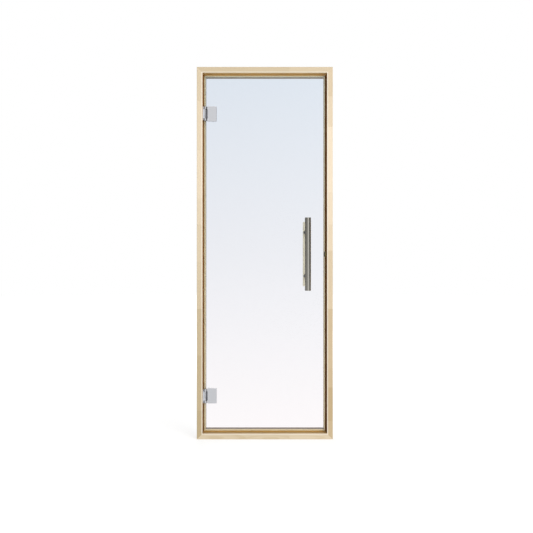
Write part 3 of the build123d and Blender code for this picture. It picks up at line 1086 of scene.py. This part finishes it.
@dataclass
class Catch:
    """The magnetic catch in the latch jamb and its keeper on the glass."""

    nodes: Nodes
    housing_colour: str = "8A7638"
    magnet_colour: str = "9A8E5E"
    keeper_colour: str = "A89E73"

    def dress_nodes(self) -> None:
        """Dresses the CAD nodes of the catch."""
        finishes = {
            "catch_housing": MouldedPlastic("brown_catch_plastic", self.housing_colour),
            "catch_magnet": BrushedMetal("plated_magnet", self.magnet_colour),
            "catch_keeper": BrushedMetal("yellow_zinc_keeper", self.keeper_colour),
        }
        for name, finish in finishes.items():
            dress(self.nodes[name], finish.build())
        LOG.info("catch dressed")


# Studio


@dataclass(frozen=True)
class Lamp:
    """A rectangular soft lamp."""

    name: str
    place: tuple[float, float, float]
    target: tuple[float, float, float]
    size: tuple[float, float]
    watts: float

    def build(self) -> None:
        """Hangs the lamp, turns it towards its target and keeps it out of sight."""
        light = bpy.data.lights.new(self.name, "AREA")
        light.shape = "RECTANGLE"
        light.size, light.size_y = self.size
        light.energy = self.watts
        holder = bpy.data.objects.new(self.name, light)
        holder.visible_camera = holder.visible_glossy = holder.visible_transmission = False
        holder.location = self.place
        aim = Vector(self.target) - Vector(self.place)
        holder.rotation_mode = "QUATERNION"
        holder.rotation_quaternion = aim.to_track_quat("-Z", "Y")
        bpy.context.scene.collection.objects.link(holder)


@dataclass(frozen=True)
class Studio:
    """Pale floor, soft lamps, white surroundings and the camera."""

    distance: float = 4.0        # from the camera to the frame's front faces
    eye_height: float = 0.945
    lens_mm: float = 53.264
    sensor_mm: float = 36.0
    shift_x: float = 0.0032
    shift_y: float = -0.0251
    floor_radius: float = 14.0
    floor_corners: int = 64
    floor_glow: tuple[float, float] = (0.66, 0.85)  # by the door and far from it
    glow_reach: tuple[float, float] = (1.0, 3.5)    # where it starts to grow and ends
    floor_shade: float = 0.45
    uplight: float = 0.88        # what the floor throws back up at the door
    ceiling_gain: float = 1.5    # how much brighter the room is overhead, as a share
    mirrored_strength: float = 1.2
    mirrored_floor: float = 1.06  # what metal and glass show below the horizon
    horizon: tuple[float, float] = (-0.3, 0.06)  # rise where the mirrored floor is whole and ends
    # The room round the door as pairs of bearing and strength. Bearings are in degrees, 0
    # behind the camera and rising to the right. soft_room is the light that it sheds, and
    # mirrored_room is what metal and glass show of it, with a white backdrop behind.
    soft_room: tuple[tuple[float, float], ...] = (
        (-180, 0.36), (-110, 0.15), (-60, 0.15), (-25, 0.4), (10, 0.6), (35, 0.7),
        (60, 0.35), (110, 0.2), (180, 0.36),
    )
    mirrored_room: tuple[tuple[float, float], ...] = (
        (-180, 0.83), (-172, 0.83), (-165, 0.2), (-110, 0.2), (-75, 0.3), (-57, 0.27),
        (-16, 0.42), (3, 0.8), (12, 0.99), (38, 0.99), (46, 0.25), (62, 0.08), (80, 0.02),
        (165, 0.01), (175, 0.83), (180, 0.83),
    )
    lamps: tuple[Lamp, ...] = (
        Lamp("key", (2.6, -5.2, 2.6), (0, 0, 1.2), (2.4, 2.0), 104.0),
        Lamp("fill", (-2.6, -4.6, 1.6), (0, 0, 1.0), (2.0, 2.4), 8.0),
        Lamp("behind", (-0.6, 5.2, 2.2), (0, 0, 1.0), (2.4, 2.4), 80.0),
    )

    def build(self) -> None:
        """Sets up the whole studio."""
        self.build_world()
        self.build_floor()
        for lamp in self.lamps:
            lamp.build()
        self.build_camera()
        bpy.context.scene.view_settings.view_transform = "Standard"
        LOG.info("studio: %d lamps, floor and camera", len(self.lamps))

    def build_world(self) -> None:
        """Makes the surroundings: white to the eye, a soft even light, a room to metal."""
        world = bpy.data.worlds.new("studio_world")
        world.use_nodes = True
        tree = world.node_tree
        tree.nodes.clear()
        direction = add_node(
            tree, "SeparateXYZ", {0: add_node(tree, "TexCoord").outputs["Generated"]}
        ).outputs
        ahead = add_node(tree, "Math", {0: direction["Y"], 1: -1.0}, operation="MULTIPLY")
        bearing = add_node(tree, "Math", {0: direction["X"], 1: ahead}, operation="ARCTAN2")
        turn = add_node(tree, "MapRange", {"Value": bearing, "From Min": -math.pi, "From Max": math.pi})
        soft, mirrored = (
            set_stops(
                add_node(tree, "ValToRGB", {0: turn}),
                [(degrees / 360 + 0.5, grey(level)) for degrees, level in room],
            )
            for room in (self.soft_room, self.mirrored_room)
        )
        in_metal = add_node(tree, "Math", {0: mirrored, 1: self.mirrored_strength}, operation="MULTIPLY")
        height = add_node(tree, "Math", {0: direction["Z"]}, operation="ABSOLUTE")
        lift = add_node(tree, "Math", {0: height, 1: self.ceiling_gain, 2: 1.0}, operation="MULTIPLY_ADD")
        lit_room = add_node(tree, "Math", {0: soft, 1: lift}, operation="MULTIPLY")
        walls = add_node(tree, "Math", {0: in_metal, 1: lift}, operation="MULTIPLY")
        below = add_node(
            tree, "MapRange",
            {"Value": direction["Z"], "From Min": self.horizon[0], "From Max": self.horizon[1],
             "To Min": 1.0, "To Max": 0.0},
            interpolation_type="SMOOTHSTEP",
        )
        reflected = add_node(tree, "Mix", {"Factor": below, "A": walls, "B": self.mirrored_floor})
        path = add_node(tree, "LightPath").outputs
        unseen = add_node(
            tree, "Mix", {"Factor": path["Glossy Depth"], "A": lit_room, "B": reflected},
            clamp_factor=True,
        )
        unmirrored = add_node(tree, "Math", {0: path["Glossy Depth"], 1: MIRRORED}, operation="LESS_THAN")
        through_glass = add_node(
            tree, "Math", {0: path["Is Transmission Ray"], 1: unmirrored}, operation="MULTIPLY"
        )
        seen = add_node(tree, "Math", {0: path["Is Camera Ray"], 1: through_glass}, operation="MAXIMUM")
        strength = add_node(tree, "Mix", {"Factor": seen, "A": unseen, "B": 1.0})
        sky = add_node(tree, "Background", {"Color": grey(1.0), "Strength": strength})
        add_node(tree, "OutputWorld", {"Surface": sky})
        bpy.context.scene.world = world

    def build_floor(self) -> None:
        """Lays a round pale floor, white to the eye apart from the door's shadow.

        Its glow grows away from the door, where the lamps light it less. A mirrored ray
        passes through it to the surroundings, which are as pale below the horizon, so that
        no hard horizon shows in glass or metal.
        """
        turn = np.linspace(0, 2 * np.pi, self.floor_corners, endpoint=False)
        rim = self.floor_radius * np.stack([np.cos(turn), np.sin(turn), 0 * turn], axis=-1)
        mesh = bpy.data.meshes.new("floor")
        mesh.from_pydata(rim.tolist(), [], [list(range(len(turn)))])
        floor = bpy.data.objects.new("floor", mesh)
        bpy.context.scene.collection.objects.link(floor)

        material, tree = new_material("pale_floor")
        place = add_node(tree, "TexCoord").outputs["Object"]
        away = add_node(tree, "VectorMath", {0: place}, operation="LENGTH").outputs["Value"]
        level = add_node(
            tree, "MapRange",
            {"Value": away, "From Min": self.glow_reach[0], "From Max": self.glow_reach[1],
             "To Min": self.floor_glow[0], "To Max": self.floor_glow[1]},
        )
        glow = add_node(tree, "Emission", {"Strength": level})
        shade = add_node(tree, "BsdfDiffuse", {"Color": grey(self.floor_shade)})
        shadowed = add_node(tree, "AddShader", {0: glow, 1: shade})
        white = add_node(tree, "Emission")
        path = add_node(tree, "LightPath").outputs
        bounce = add_node(tree, "Emission", {"Strength": self.uplight})
        unseen = add_node(tree, "MixShader", {0: path["Is Transmission Ray"], 1: bounce, 2: white})
        solid = add_node(tree, "MixShader", {0: path["Is Camera Ray"], 1: unseen, 2: shadowed})
        mirrored = add_node(
            tree, "Math", {0: path["Glossy Depth"], 1: MIRRORED}, operation="GREATER_THAN"
        )
        surface = add_node(
            tree, "MixShader", {0: mirrored, 1: solid, 2: add_node(tree, "BsdfTransparent")}
        )
        add_node(tree, "OutputMaterial", {"Surface": surface})
        dress(floor, material)

    def build_camera(self) -> None:
        """Sets a camera square to the door at the height of its middle."""
        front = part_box("sill_rail")[0][1]
        data = bpy.data.cameras.new("camera")
        data.lens, data.sensor_width = self.lens_mm, self.sensor_mm
        data.shift_x, data.shift_y = self.shift_x, self.shift_y
        camera = bpy.data.objects.new("camera", data)
        camera.location = (0.0, front - self.distance, self.eye_height)
        camera.rotation_euler = (math.radians(90), 0.0, 0.0)
        bpy.context.scene.collection.objects.link(camera)
        bpy.context.scene.camera = camera


def main() -> None:
    """Builds the door's looks in order and reports each step."""
    logging.basicConfig(level=logging.INFO, format="%(name)s: %(message)s")
    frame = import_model()
    nodes = frame["nodes"]

    wood_frame = WoodFrame(nodes)
    wood_frame.dress_wood()
    wood_frame.dress_seals()
    dress(nodes["glass_pane"], ToughenedGlass(Outline.of_node("glass_pane")).build())

    hinge_finishes = HingeFinishes.build()
    for place in PLACES:
        hinge = Hinge(nodes, place, hinge_finishes)
        hinge.dress_nodes()
        hinge.add_leaf_screws()
        hinge.add_clamp_screws()
    Handle(nodes).dress_nodes()
    Catch(nodes).dress_nodes()
    Studio().build()


if __name__ == "__main__":
    main()
